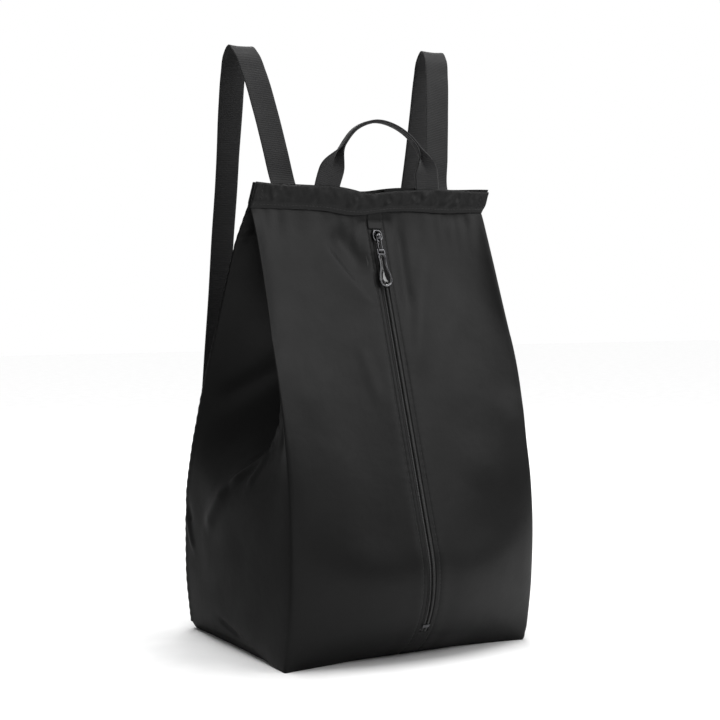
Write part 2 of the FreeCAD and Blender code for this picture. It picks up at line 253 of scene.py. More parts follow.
# ---- mesh helpers: points in millimetres, cloth coordinates in metres ----
def through(knots, values, places):
    """Smooth values at the places, passing through the values at the knots."""
    knots = np.asarray(knots, float)
    values = np.asarray(values, float)
    places = np.asarray(places, float)
    shape = (-1,) + (1,) * (values.ndim - 1)
    gap = np.diff(knots)
    slope = np.diff(values, axis=0) / gap.reshape(shape)
    before = gap[:-1].reshape(shape)
    after = gap[1:].reshape(shape)
    tangent = np.empty_like(values)
    tangent[0] = slope[0]
    tangent[-1] = slope[-1]
    tangent[1:-1] = (slope[:-1] * after + slope[1:] * before) / (before + after)
    i = np.clip(np.searchsorted(knots, places, side="right") - 1, 0, len(gap) - 1)
    h = gap[i].reshape(shape)
    t = ((places - knots[i]) / gap[i]).reshape(shape)
    return hermite(t, h, values[i], tangent[i], values[i + 1], tangent[i + 1])


def unit(vectors):
    return vectors / np.maximum(np.linalg.norm(vectors, axis=-1, keepdims=True), 1e-9)


def grid_normals(grid):
    return unit(np.cross(np.gradient(grid, axis=0), np.gradient(grid, axis=1)))


def run_length(points):
    """Distance along a line of points at each of them."""
    steps = np.linalg.norm(np.diff(points, axis=0), axis=1)
    return np.concatenate([[0.0], np.cumsum(steps)])


def new_object(name, data):
    obj = bpy.data.objects.new(name, data)
    bpy.context.scene.collection.objects.link(obj)
    return obj


def make_object(name, points, faces, uv=None, weld=False):
    mesh = bpy.data.meshes.new(name)
    mesh.from_pydata((np.asarray(points) * MM).tolist(), [], faces)
    if uv is not None:
        layer = mesh.uv_layers.new(name="cloth")
        index = np.zeros(len(mesh.loops), int)
        mesh.loops.foreach_get("vertex_index", index)
        layer.data.foreach_set("uv", np.asarray(uv)[index].ravel())
    if weld:
        bm = bmesh.new()
        bm.from_mesh(mesh)
        bmesh.ops.remove_doubles(bm, verts=bm.verts, dist=1e-6)
        bmesh.ops.recalc_face_normals(bm, faces=bm.faces)
        bm.to_mesh(mesh)
        bm.free()
    mesh.shade_smooth()
    return new_object(name, mesh)


def grid_faces(n, m):
    return [(i * m + j, (i + 1) * m + j, (i + 1) * m + j + 1, i * m + j + 1)
            for i in range(n - 1) for j in range(m - 1)]


def capped_faces(n, m):
    """Faces of a closed strip: the grid, whose last column is its first, and both ends."""
    first = tuple(range(m - 1))
    last = tuple((n - 1) * m + i for i in range(m - 1))[::-1]
    return grid_faces(n, m) + [first, last]


def cloth_piece(name, grid, uv, normals=None):
    """One open sheet through a grid of points, shaded with the whole body's normals."""
    n, m = grid.shape[:2]
    obj = make_object(name, grid.reshape(-1, 3), grid_faces(n, m), uv.reshape(-1, 2))
    if normals is not None:
        obj.data.normals_split_custom_set_from_vertices(normals.reshape(-1, 3).tolist())
    return obj


def sweep(name, centres, across, rings):
    """Closed strip along the centres. Each ring lists (across, out) offsets of its outline."""
    centres = np.asarray(centres, float)
    rings = np.asarray(rings, float)
    if rings.ndim == 2:
        rings = np.repeat(rings[None], len(centres), axis=0)
    rings = np.concatenate([rings, rings[:, :1]], axis=1)
    tangent = unit(np.gradient(centres, axis=0))
    across = np.broadcast_to(np.asarray(across, float), centres.shape)
    across = unit(across - tangent * np.sum(across * tangent, axis=1, keepdims=True))
    out = np.cross(tangent, across)
    k, r = rings.shape[:2]
    grid = centres[:, None] + across[:, None] * rings[..., :1] + out[:, None] * rings[..., 1:]
    round_way = np.array([run_length(ring) for ring in rings])
    along = np.repeat(run_length(centres)[:, None], r, axis=1)
    uv = np.stack([round_way, along], axis=-1) * MM
    return make_object(name, grid.reshape(-1, 3), capped_faces(k, r), uv.reshape(-1, 2), weld=True)


def web_ring(width=25.0, thick=1.5, cup=0.0):
    """Outline of flat webbing with rounded edges, cupped a little."""
    r = thick / 2
    half = width / 2 - r
    turn = np.linspace(0, math.pi, 6)[1:-1]
    xs = np.linspace(half, -half, 11)
    ring = [(x, r) for x in xs]
    ring += [(-half - r * math.sin(t), r * math.cos(t)) for t in turn]
    ring += [(x, -r) for x in xs[::-1]]
    ring += [(half + r * math.sin(t), -r * math.cos(t)) for t in turn]
    return [(x, y + cup * (x / half) ** 2) for x, y in ring]


def pebble(sides=8, rings=5):
    """Small round solid of radius 1, for one stitch or one loop of the zip's coil."""
    turn = [2 * math.pi * i / sides for i in range(sides)]
    points = [(0.0, 0.0, 1.0)]
    for k in range(1, rings):
        a = math.pi * k / rings
        points += [(math.sin(a) * math.cos(t), math.sin(a) * math.sin(t), math.cos(a)) for t in turn]
    points.append((0.0, 0.0, -1.0))
    last = len(points) - 1
    pairs = [(i, (i + 1) % sides) for i in range(sides)]
    faces = [(0, 1 + i, 1 + j) for i, j in pairs]
    for row in range(1, last - sides, sides):
        faces += [(row + i, row + sides + i, row + sides + j, row + j) for i, j in pairs]
    row = last - sides
    return np.array(points), faces + [(row + i, last, row + j) for i, j in pairs]


def scatter(name, centres, tangents, normals, size):
    """One mesh of small solids, each (half width, half height, half length) in its own frame."""
    base, base_faces = pebble()
    side = unit(np.cross(tangents, normals))
    up = np.cross(side, tangents)
    points = centres[:, None] + (base * size) @ np.stack([side, up, tangents], axis=1)
    count = len(base)
    faces = [tuple(k * count + i for i in face) for k in range(len(centres)) for face in base_faces]
    return make_object(name, points.reshape(-1, 3), faces)


STITCH = 2.6  # length of a stitch
STITCH_GAP = 0.9
STITCH_HALF = (0.28, 0.24)  # half width and half height of a stitch


def stitch_row(points, normals):
    """Places, directions and normals of the stitches along one line on the cloth."""
    run = run_length(points)
    count = max(1, int(run[-1] / (STITCH + STITCH_GAP)))
    places = (np.arange(count) + 0.5) * run[-1] / count
    centres = through(run, points, places)
    ahead = through(run, points, np.minimum(places + 0.4, run[-1]))
    behind = through(run, points, np.maximum(places - 0.4, 0))
    return centres, unit(ahead - behind), unit(through(run, normals, places))


def stitches(name, rows):
    """One piece for several rows of stitches, each a line of points and their normals."""
    rows = [stitch_row(np.asarray(p, float), np.asarray(n, float)) for p, n in rows]
    centres, tangents, normals = (np.concatenate(part) for part in zip(*rows))
    finish_piece(scatter(name, centres, tangents, normals, (*STITCH_HALF, STITCH / 2)), "thread")


def boxed_cross(name, corners, facing):
    """Stitches round four corners and along both diagonals."""
    rows = []
    for i, j in ((0, 1), (1, 2), (2, 3), (3, 0), (0, 2), (1, 3)):
        line = corners[i] + (corners[j] - corners[i]) * np.linspace(0.04, 0.96, 7)[:, None]
        rows.append((line, np.tile(facing, (7, 1))))
    stitches(name, rows)


def finish_piece(obj, material, body="bag"):
    """Give a piece its material and, unless it bends, its body."""
    slot, look = MATERIALS[material]
    obj.data.materials.append(look)
    if body:
        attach(obj, body)
    return obj


# ---- the body's surface ----
def fine_columns():
    """Columns of the finished surface, all the way round, closest beside the zip."""
    near = [FOLD_X, 5.6, 6.5, 7.3, 8.0, SEAM_X, 9.2, 10.0, 11.4, 13.2, 15.4, 18.0]
    half = half_columns(near, 45, 81, 46)
    return np.concatenate([half, AROUND - half[:-1][::-1]])


def stroke(a, z, start, end, width, height):
    """Ridge or valley of cloth along a straight line, fading at both ends."""
    da, dz = end[0] - start[0], end[1] - start[1]
    t = ((a - start[0]) * da + (z - start[1]) * dz) / (da * da + dz * dz)
    inside = np.clip(t, 0, 1)
    distance = np.hypot(a - start[0] - inside * da, z - start[1] - inside * dz)
    fade = smooth(inside / 0.3) * smooth((1 - inside) / 0.3)
    return height * np.exp(-(distance / width) ** 2) * (0.15 + 0.85 * fade)


def pleat(a, z, start, end, width, height):
    """Step of folded cloth along a line: raised on one side and easing away behind it."""
    da, dz = end[0] - start[0], end[1] - start[1]
    t = ((a - start[0]) * da + (z - start[1]) * dz) / (da * da + dz * dz)
    off = ((a - start[0]) * dz - (z - start[1]) * da) / math.hypot(da, dz)
    fade = smooth(t / 0.2) * smooth((1 - t) / 0.2)
    behind = np.exp(-(np.maximum(off, 0) / 16) ** 2)
    return height * 0.5 * (1 + np.tanh(off / width)) * behind * fade


# folds by side (1 right, -1 left) and by where distances start: at the zip, the front crease or the
# middle of the back. Each has start and end as (distance, height), its width and its height
FOLDS = [
    (-1, 0, [
        ((46, 384), (14, 338), 11.0, -2.4),
        ((36, 280), (24, 222), 7.0, 0.5),
        ((112, 330), (90, 200), 14.0, 1.2),
    ]),
    (1, 0, [
        ((56, 380), (13, 235), 9.0, 1.1),
        ((24, 388), (21, 300), 6.5, -1.5),
        ((75, 391), (116, 389), 6.0, -0.9),
        ((60, 140), (124, 236), 20.0, 1.8),
    ]),
    (-1, HALF_W, [
        ((17, 262), (21, 184), 7.0, -5.0),
        ((30, 246), (40, 206), 4.5, 3.0),
        ((38, 212), (66, 182), 4.5, 3.6),
        ((60, 186), (112, 148), 5.0, 3.6),
        ((108, 152), (152, 102), 9.0, 3.0),
        ((62, 184), (76, 150), 5.0, 2.0),
        ((50, 222), (120, 168), 9.0, -3.5),
        ((190, 214), (110, 268), 12.0, 3.0),
        ((198, 112), (178, 78), 4.0, 2.0),
        ((199, 122), (184, 104), 6.0, -1.8),
        ((130, 24), (80, 7), 4.0, -1.8),
    ]),
    (1, HALF_W, [
        ((20, 232), (90, 160), 9.0, 3.5),
        ((90, 160), (150, 120), 10.0, 2.5),
        ((60, 250), (110, 180), 9.0, -3.0),
        ((184, 200), (120, 260), 12.0, 2.5),
        ((150, 60), (60, 30), 12.0, 1.5),
    ]),
    (-1, AROUND / 2, [
        ((-70, 380), (-40, 260), 9.0, 1.6),
        ((-20, 384), (-4, 300), 7.0, -1.2),
        ((-90, 90), (-30, 150), 14.0, 1.2),
    ]),
    (1, AROUND / 2, [
        ((-60, 376), (-20, 250), 10.0, 1.4),
        ((-90, 170), (-20, 110), 16.0, 1.4),
    ]),
]


def uneven(a, b, seed):
    """Gentle unevenness of hand-sewn cloth, from -1 to 1."""
    return (np.sin(a + 1.7 * np.sin(0.61 * b + seed)) + np.sin(0.47 * a - 1.13 * b + 2.1 * seed)
            + np.sin(0.83 * b + 1.9 * np.sin(0.37 * a + 0.5 * seed))) / 3


def relief(s, v, z):
    """How far the cloth stands out of its settled surface, in millimetres."""
    right = s < AROUND / 2
    a = np.where(right, s, AROUND - s)
    side = np.where(right, 1.0, -1.0)
    out = np.zeros_like(s)
    for where, origin, folds in FOLDS:
        for fold in folds:
            out += np.where(side == where, stroke(a - origin, z, *fold), 0.0)
    out += np.where(right, 0.0, pleat(a, z, (12, 311), (56, 369), 1.1, 0.8))
    seam = smooth((22 - a) / 8)
    pucker = np.sin(2 * math.pi * v / 7.3 + 2.2 * np.sin(v / 19 + side))
    uneven_seam = 0.6 + 0.4 * uneven(v / 31, a * 0, 2.0 + side)
    out += seam * 0.17 * pucker * uneven_seam * np.exp(-((a - 8) / 5) ** 2)
    out -= 0.35 * np.exp(-((a - SEAM_X) / 0.9) ** 2)
    under = smooth((z - 352) / 40) * (a < HALF_W + 2)
    gather = np.sin(a / 2.6 + 2.4 * np.sin(a / 17 + side) + 0.03 * (396 - z) * side)
    out += under * 0.2 * gather * smooth((a - 14) / 8)
    out += 0.55 * uneven(s / 21, v / 37, 1.3) * smooth((a - 16) / 20)
    low = smooth((60 - v) / 50) * smooth((a - 16) / 20)
    out += low * 0.5 * uneven(s / 9, v / 24, 4.0)
    back_seam = np.exp(-((a - HALF_W - SIDE) / 1.6) ** 2)
    ripple = np.sin(2 * math.pi * v / 9.1 + np.sin(v / 23))
    out += 0.5 * back_seam + 0.3 * ripple * np.exp(-((a - HALF_W - SIDE - 3) / 5) ** 2)
    return out * smooth((BAND_Z + 6 - z) / 8)


def band_wave(x):
    """How far the band's lower edge dips or rises along its length."""
    dip = -4.2 * np.exp(-((x + 22) / 24) ** 2) + 1.0 * np.exp(-((x - 42) / 30) ** 2)
    return dip + 2.3 + 1.8 * smooth((x - 70) / 57)


def band_lean(x, z):
    """Sideways shift of the band and of the cloth that runs into it."""
    pinch = -8.0 * smooth((x - 20) / 107) * smooth((z - 230) / 166)
    rise = np.clip((z - BAND_Z) / (TOP_Z - BAND_Z), 0, 1)
    return pinch + rise * (6.2 + 2.8 * smooth((x + 127) / 254))


def drape(grid):
    """Lift the left side off the floor behind its front corner, draw in the foot of the right
    side, and carry the band's dip and lean down into the body."""
    x, y, z = grid[..., 0], grid[..., 1], grid[..., 2]
    corner = smooth((-x - 40) / 60) * smooth((y + 95) / 75) * np.exp(-z / 14)
    lifted = z + (9.0 - 2.0 * smooth((y - 20) / 60)) * corner
    foot = np.clip(1 - z / 15, 0, 1)
    tucked = 6.5 * (1 - np.sqrt(1 - np.minimum(foot, 0.999) ** 2))
    x = x - tucked * smooth((x - 95) / 32)
    lifted = lifted + band_wave(x) * smooth((z - 330) / 66) * (z <= BAND_Z + 0.01)
    lifted = lifted + band_wave(x) * (z > BAND_Z + 0.01)
    return np.stack([x + band_lean(x, z), y, lifted], axis=-1)


def keep_clear(column, panel, facing):
    """Move one column of a gusset to the inner side of a panel that is given by its columns."""
    z = column[:, 2]
    xs = np.array([np.interp(z, c[:, 2], np.abs(c[:, 0])) for c in panel])
    ys = np.array([np.interp(z, c[:, 2], c[:, 1]) for c in panel])
    for j, x in enumerate(np.abs(column[:, 0])):
        order = np.argsort(xs[:, j])
        limit = np.interp(x, xs[order, j], ys[order, j])
        limit += facing * LAYER * smooth((xs[order[-1], j] - x) / 8)
        column[j, 1] = facing * max(facing * column[j, 1], facing * limit)


def untangle(shape, s):
    """Keep the folded gussets behind the front panel and in front of the back one."""
    a = np.minimum(s, AROUND - s)
    for own in (s < AROUND / 2, s > AROUND / 2):
        gusset = np.flatnonzero(own & (a > HALF_W + 1) & (a < HALF_W + SIDE - 1))
        for panel, facing in ((own & (a <= HALF_W), 1), (own & (a >= HALF_W + SIDE), -1)):
            for i in gusset:
                keep_clear(shape[i], shape[panel], facing)
    return shape


def relax(shape, s):
    """Even out the smallest ripples of the settled cloth, leaving its seams and pressed creases."""
    a = np.minimum(s, AROUND - s)
    pressed = 0.78 + 0.22 * smooth((shape[..., 2] - 150) / 120)
    crease = np.exp(-((a - HALF_W) / 5) ** 2)[:, None] * pressed
    crease = crease + np.exp(-((a - HALF_W - SIDE) / 5) ** 2)[:, None]
    free = (1 - np.clip(crease, 0, 1)) * smooth((a - 12) / 10)[:, None]
    share = free[..., None].copy()
    share[:, 0] = 0
    share[:, -5:] = 0
    for _ in range(RELAX):
        near = shape.copy()
        near[1:-1] = 0.25 * shape[:-2] + 0.5 * shape[1:-1] + 0.25 * shape[2:]
        blended = near.copy()
        blended[:, 1:-1] = 0.25 * near[:, :-2] + 0.5 * near[:, 1:-1] + 0.25 * near[:, 2:]
        shape = shape + (blended - shape) * share
    return shape


def body_surface():
    us, shape = body_fabric()
    s = np.where(us > 0, us, us + AROUND)
    order = np.argsort(s)
    rows = np.linspace(0, FABRIC_H - 2, shape.shape[1])
    v = np.linspace(0, FABRIC_H - 4, ROWS)
    columns = fine_columns()
    settled = untangle(shape[order] / MM, s[order])
    grid = through(s[order], relax(settled, s[order]), columns)
    grid = through(rows, grid.transpose(1, 0, 2), v).transpose(1, 0, 2)
    s_grid, v_grid = np.meshgrid(columns, v, indexing="ij")
    grid = grid + grid_normals(grid) * relief(s_grid, v_grid, grid[..., 2])[..., None]
    grid[..., 2] = np.maximum(grid[..., 2], 0.0)
    grid = drape(untangle(grid, columns))
    return columns, grid, grid_normals(grid), np.stack([s_grid, v_grid], axis=-1) * MM


# the turned-under edge: (distance from the zip, depth below the face)
ROLL = [(9.5, 1.1), (7.0, 1.15), (5.4, 1.05), (4.6, 0.75), (4.4, 0.4), (4.6, 0.12)]


def rolled_edge(grid, normals, uv, side):
    """Columns that turn the front panel's edge under beside the zip."""
    first, second = (0, 2) if side > 0 else (-1, -3)
    away = unit(grid[second] - grid[first])
    extra, facing, flat = [], [], []
    for k, (u, depth) in enumerate(ROLL):
        turn = math.pi * (1 - k / len(ROLL))
        extra.append(grid[first] + away * (u - FOLD_X) - normals[first] * depth)
        facing.append(unit(normals[first] * math.cos(turn) - away * math.sin(turn)))
        flat.append(uv[first] - [side * MM * (len(ROLL) - k) * 1.1, 0])
    pairs = ((extra, grid), (facing, normals), (flat, uv))
    if side > 0:
        return [np.concatenate([new, old]) for new, old in pairs]
    return [np.concatenate([old, new[::-1]]) for new, old in pairs]


def body_pieces(columns, grid, normals, uv):
    a = np.minimum(columns, AROUND - columns)
    right = columns <= AROUND / 2
    eps = 1e-6
    for side, name in ((1, "right"), (-1, "left")):
        own = right if side > 0 else ~right
        pick = own & (a <= HALF_W + eps)
        points, facing, flat = rolled_edge(grid[pick], normals[pick], uv[pick], side)
        front = cloth_piece("front_cloth_" + name, points, flat, facing)
        finish_piece(front, "nylon")
        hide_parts("front_panel_" + name)
        pick = own & (a >= HALF_W - eps) & (a <= HALF_W + SIDE + eps)
        gusset = cloth_piece("gusset_cloth_" + name, grid[pick], uv[pick], normals[pick])
        finish_piece(gusset, "nylon")
        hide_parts("side_gusset_" + name)
    pick = a >= HALF_W + SIDE - eps
    back = cloth_piece("back_cloth", grid[pick], uv[pick], normals[pick])
    finish_piece(back, "nylon")
    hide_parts("back_panel")


def base_piece(grid):
    """Base cloth: from the seam at the foot of the sides down and in to the floor."""
    rim = np.concatenate([grid[:, 0], grid[:1, 0]])
    rings = []
    for f in (1.0, 0.995, 0.99, 0.984, 0.977, 0.97, 0.95, 0.9, 0.8, 0.65, 0.5, 0.35, 0.2, 0.08):
        ring = rim * f
        ring[:, 2] = rim[:, 2] * smooth((f - 0.962) / 0.038)
        ring[:, 2] += 0.3 * smooth((1 - f) / 0.1) * (1 + uneven(ring[:, 0] / 18, ring[:, 1] / 15, 2.0))
        rings.append(ring)
    base = np.stack(rings, axis=0)
    uv = base[..., :2] * MM
    obj = cloth_piece("base_cloth", base, uv)
    finish_piece(obj, "nylon")
    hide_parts("base_panel")


def body_stitching(columns, grid, normals):
    """Rows of stitches down the cloth, on the same column of both sides."""
    seams = (("zip_topstitch", SEAM_X, 3, BAND_Z - 1, 0.05),
             ("back_seam_stitch", HALF_W + SIDE + 4, 6, BAND_Z - 2, 0.1))
    for name, place, low, high, lift in seams:
        rows = []
        for at in (place, AROUND - place):
            k = int(np.argmin(np.abs(columns - at)))
            keep = (grid[k, :, 2] < high) & (grid[k, :, 2] > low)
            rows.append((grid[k, keep] + lift * normals[k, keep], normals[k, keep]))
        stitches(name, rows)


# ---- top band ----
def band_piece(name, y_out, y_in, node):
    """Folded hem band: a padded strip with a rounded, wavy top edge."""
    facing = -1.0 if y_out < y_in else 1.0
    thick = abs(y_in - y_out)
    xs = np.linspace(-HALF_W, HALF_W, 170)
    face = [(h, 0.45 + 0.55 * float(smooth(h / 0.25))) for h in np.linspace(0, 0.9, 15)]
    turn = [(0.9 + 0.1 * math.sin(t), 0.5 + 0.5 * math.cos(t)) for t in np.linspace(0.3, math.pi - 0.3, 6)]
    inner = [(h, 0.0) for h in np.linspace(0.9, 0, 6)]
    foot = [(-0.02, 0.15), (-0.02, 0.35)]
    outline = face + turn + inner + foot
    grid = np.zeros((len(xs), len(outline) + 1, 3))
    for i, x in enumerate(xs):
        top = TOP_Z - 2.2 - 1.6 * math.sin(x / 19 + 1.0) - 2.2 * math.exp(-((x + 10) / 16) ** 2)
        top += 3.2 * smooth((-x - 60) / 67) + 1.5 * smooth((x - 90) / 37)
        height = top - band_wave(x) * 0.5 - BAND_Z
        for j, (h, depth) in enumerate(outline + outline[:1]):
            z = BAND_Z + height * h
            puff = 0.55 * math.sin(math.pi * min(1.0, max(0.0, h)))
            lump = noise.noise(Vector((x / 8 - 0.05 * z, z / 13, 3.0 * facing)))
            lump += 0.6 * noise.noise(Vector((x / 4.3 + 0.11 * z, z / 7, 9.0 + facing)))
            seam = -0.5 * math.exp(-((z - BAND_Z - 2.6) / 0.9) ** 2)
            swell = depth * (puff + lump * smooth((z - BAND_Z - 3) / 4) + seam)
            y = y_in + facing * (thick * depth + swell)
            grid[i, j] = (x + float(band_lean(x, z)), y, z + float(band_wave(x)))
    m = len(outline) + 1
    along = np.repeat(xs[:, None], m, axis=1)
    round_way = np.array([run_length(col) for col in grid])
    uv = np.stack([along, round_way], axis=-1) * MM
    obj = make_object(name, grid.reshape(-1, 3), capped_faces(len(xs), m), uv.reshape(-1, 2), weld=True)
    finish_piece(obj, "band_nylon")
    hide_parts(node)
    low = grid[:, 2]
    rows = [(low + [0, facing * 0.1, 0.2], np.tile([0, facing, 0], (len(xs), 1)))]
    for end in (5, len(xs) - 6):
        column = grid[end, 2:15]
        rows.append((column + [0, facing * 0.1, 0], np.tile([0, facing, 0], (len(column), 1))))
    stitches(name + "_stitch", rows)


# ---- zip ----
def zip_run(distance, n):
    """Point, direction and outward normal on the zip's line, a distance below its top."""
    straight = (ZIP_TOP[1] - ZIP_BEND[1]) / math.cos(SLOPE)
    distance = np.asarray(distance, float)
    arc = np.maximum(0, distance - straight) / ZIP_R
    turn = SLOPE - arc
    run = np.minimum(distance, straight)
    y = ZIP_TOP[0] - run * math.sin(SLOPE)
    z = ZIP_TOP[1] - run * math.cos(SLOPE)
    y = np.where(arc > 0, ARC_C[0] - ZIP_R * np.cos(turn), y) - n * np.cos(turn)
    z = np.where(arc > 0, ARC_C[1] + ZIP_R * np.sin(turn), z) + n * np.sin(turn)
    zero = np.zeros_like(y)
    return (np.stack([zero, y, z], axis=-1), np.stack([zero, -np.sin(turn), -np.cos(turn)], axis=-1),
            np.stack([zero, -np.cos(turn), np.sin(turn)], axis=-1))


COIL_PITCH = 1.4
COIL_X = 1.75  # middle of a row of loops, clear of the slider's neck
COIL_HALF = (0.55, 0.85, 1.1)  # half sizes of a loop: along the zip, out and across
CORD_X = 3.15
ZIP_LEN = 378.0


def zip_coils():
    """Two rows of coil loops, with a slot between them for the slider's neck."""
    for side, name in ((1, "right"), (-1, "left")):
        places = np.arange(5.5, ZIP_LEN, COIL_PITCH) + 0.25 * COIL_PITCH * side
        centres, along, facing = zip_run(places, 0.95)
        centres[:, 0] = side * COIL_X
        across = np.tile([1.0, 0.0, 0.0], (len(places), 1))
        tilt = unit(across + 0.22 * side * along)
        coil = scatter("coil_" + name, centres, tilt, facing, COIL_HALF)
        finish_piece(coil, "coil_plastic")
        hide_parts("zip_coil_" + name)
        centres, along, facing = zip_run(np.linspace(4, ZIP_LEN, 160), 0.25)
        centres[:, 0] = side * CORD_X
        cord = sweep("coil_cord_" + name, centres, (1, 0, 0), web_ring(1.3, 0.7))
        finish_piece(cord, "tape")


def zip_patch(name, node, low, high, n, width):
    """Small cloth patch that closes the zip's opening beyond its end."""
    centres = [(0.0, zip_y(z, n), z) for z in np.linspace(high, low, 14)]
    obj = sweep(name, centres, (1, 0, 0), web_ring(width, 0.5))
    finish_piece(obj, "nylon")
    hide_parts(node)


# ---- pull ----
SLIDER_Z = 374.7  # height of the slider at rest
SLIDER_TOP = 3.2  # height of the slider's top plate above the tape
LINK_N = 4.4  # height of the link above the tape
PIN_Z = -14.5  # height of the pull's pin in the slider's own frame
TAB_TOP = 3.2  # below the pin
TAB_LONG = 32.3  # length of the teardrop


def on_slider(points):
    """Points given as (across, height above the tape, along) on the zip at the slider."""
    x, n, z = np.moveaxis(np.asarray(points, float), -1, 0)
    y0 = ZIP_TOP[0] + (SLIDER_Z - ZIP_TOP[1]) * math.tan(SLOPE)
    y = -n * math.cos(SLOPE) + z * math.sin(SLOPE) + y0
    up = n * math.sin(SLOPE) + z * math.cos(SLOPE) + SLIDER_Z
    return np.stack([x, y, up], axis=-1)


def dished(name, outline, rings, middle, material, body):
    """Small solid with a shaped face: the outline stepped inwards ring by ring."""
    grid = []
    low = min(z for x, z in outline)
    for inset, height in rings:
        row = []
        for x, z in outline:
            narrow = max(0.0, 1 - inset / max(abs(x), 0.6 * inset + 1e-6)) if abs(x) > 1e-6 else 0
            reach = abs((outline[0][1] if z > middle else low) - middle)
            row.append((x * narrow, height, middle + (z - middle) * (1 - inset / reach)))
        grid.append(row + row[:1])
    grid = np.array(grid)
    faces = capped_faces(*grid.shape[:2])
    obj = make_object(name, on_slider(grid).reshape(-1, 3), faces, weld=True)
    return finish_piece(obj, material, body=body)


def slider_plate():
    """Rounded face of the slider, with a raised rim round a hollow."""
    turn = np.linspace(0, 2 * math.pi, 49)[:-1]
    power = 2 / 2.7
    outline = [(5.1 * np.sign(math.sin(t)) * abs(math.sin(t)) ** power,
                5.9 * np.sign(math.cos(t)) * abs(math.cos(t)) ** power) for t in turn]
    rings = [(0.5, -0.9), (0.05, -0.7), (0.0, 0.0), (0.25, 0.3), (0.6, 0.38), (1.0, 0.3), (1.4, 0.12),
             (2.2, 0.06), (3.4, 0.04)]
    rings = [(inset, SLIDER_TOP + height) for inset, height in rings]
    dished("slider_face", outline, rings, 0.0, "metal", "slider")


def pull_piece():
    """Teardrop pull: a rounded raised rim round a dark dished face, on a fork with its pin."""
    down = TAB_LONG * (0.5 - 0.5 * np.cos(np.linspace(0, math.pi, 40)))
    half = through([0, 1.5, 8, 15, 21, 25.5, 29, 31.3, 32.3],
                   [3.2, 4.0, 3.7, 4.6, 6.3, 6.75, 5.7, 3.4, 0.0], down)
    right = [(w, PIN_Z - TAB_TOP - d) for w, d in zip(half, down)]
    outline = right + [(-w, z) for w, z in right[-2::-1]]
    middle = PIN_Z - TAB_TOP - 22.5
    rim = [(1.6, -1.2), (0.5, -1.1), (0.08, -0.5), (0.0, 0.1), (0.12, 0.6), (0.45, 0.92), (0.8, 0.95),
           (1.1, 0.75), (1.3, 0.4), (1.6, 0.0), (2.2, -0.45), (3.2, -0.8), (5.4, -1.1)]
    face = [(2.2, -1.15), (1.3, 0.42), (1.7, 0.12), (2.4, -0.16), (3.3, -0.46), (4.3, -0.74), (5.6, -1.05)]
    obj = dished("pull_teardrop", outline, [(i, LINK_N + h) for i, h in rim], middle, "metal", "pull")
    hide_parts("pull_tab")
    dished("pull_face", outline, [(i, LINK_N + h) for i, h in face], middle, "dark_dish", "pull")
    for side, name in ((1, "right"), (-1, "left")):
        line = on_slider([(side * 3.5, LINK_N, z) for z in np.linspace(PIN_Z - 4.6, PIN_Z + 0.9, 9)])
        ear = sweep("pull_ear_" + name, line, (1, 0, 0), web_ring(1.6, 1.2))
        finish_piece(ear, "metal", body="pull")
    circle = [(0.75 * math.cos(t), 0.75 * math.sin(t)) for t in np.linspace(0, 2 * math.pi, 17)[:-1]]
    pin = sweep("pull_pin", on_slider([(x, LINK_N, PIN_Z) for x in np.linspace(-4.0, 4.0, 7)]),
                (0, 0, 1), circle)
    finish_piece(pin, "metal", body="pull")


# ---- handle and straps ----
# middle line of the handle: (x, z)
HANDLE = [(-53, 402), (-49.5, 420.9), (-43.5, 438), (-34.5, 456), (-20, 473), (0, 480.2),
          (24, 475.5), (45, 460), (55, 440), (57, 420.9), (57, 402)]
HANDLE_Y = -32.05


def folded_ring(fold, width, thick=1.3):
    """Outline of webbing folded lengthwise by a share of a half turn, selvedges to the back."""
    angle = max(0.02, fold * math.radians(88))
    radius = 0.75
    qs = np.linspace(-width / 2, width / 2, 21)
    a = np.minimum(np.abs(qs) / radius, angle)
    rest = np.maximum(0, np.abs(qs) - radius * angle)
    x = np.sign(qs) * (radius * np.sin(a) + rest * math.cos(angle))
    y = radius * (1 - np.cos(a)) + rest * math.sin(angle)
    nx, ny = -np.sin(a) * np.sign(qs), np.cos(a)
    half = thick / 2
    upper = np.stack([x + nx * half, y + ny * half], axis=1)
    lower = np.stack([x - nx * half, y - ny * half], axis=1)[::-1]
    ring = np.concatenate([upper, lower])
    ring[:, 1] -= 0.5 * y.max()
    return ring


def handle_piece():
    path = np.array([(x, HANDLE_Y, z) for x, z in HANDLE])
    run = run_length(path)
    places = np.linspace(0, run[-1], 90)
    centres = through(run, path, places)
    share = places / run[-1]
    ends = np.minimum(share, 1 - share)
    fold = smooth((ends - 0.14) / 0.15)
    rings = np.array([folded_ring(f, 25.0 - 11.0 * f) for f in fold])
    tangent = unit(np.gradient(centres, axis=0))
    across = np.cross(tangent, [0.0, 1.0, 0.0])
    obj = sweep("handle_webbing", centres, across, rings)
    finish_piece(obj, "webbing", body=None)
    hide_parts("grab_handle", "handle_end_left", "handle_end_right")
    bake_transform(obj)


# middle line of the right strap: (x, y, z), from its upper end to its lower end
STRAP = [(82, -23.4, 397.5), (82, -16, 409), (82.5, -7.5, 424), (87, -1, 454), (93, 7, 492),
         (99.5, 17, 530), (103, 25, 548), (104.5, 34, 555.2), (105, 42.5, 548),
         (105, 47.5, 532), (104.3, 54, 499), (103.2, 61, 462), (102, 69, 424), (101.5, 80, 374),
         (101, 90, 318), (101, 98, 270), (101, 105.5, 215), (101, 112, 150), (101, 113.5, 90),
         (101, 110, 50), (101, 105.5, 24.5), (101, 103.8, 12), (101, 102.6, 2.0)]
SPLIT_Z = 60.0  # where the strap passes into the tab at the base


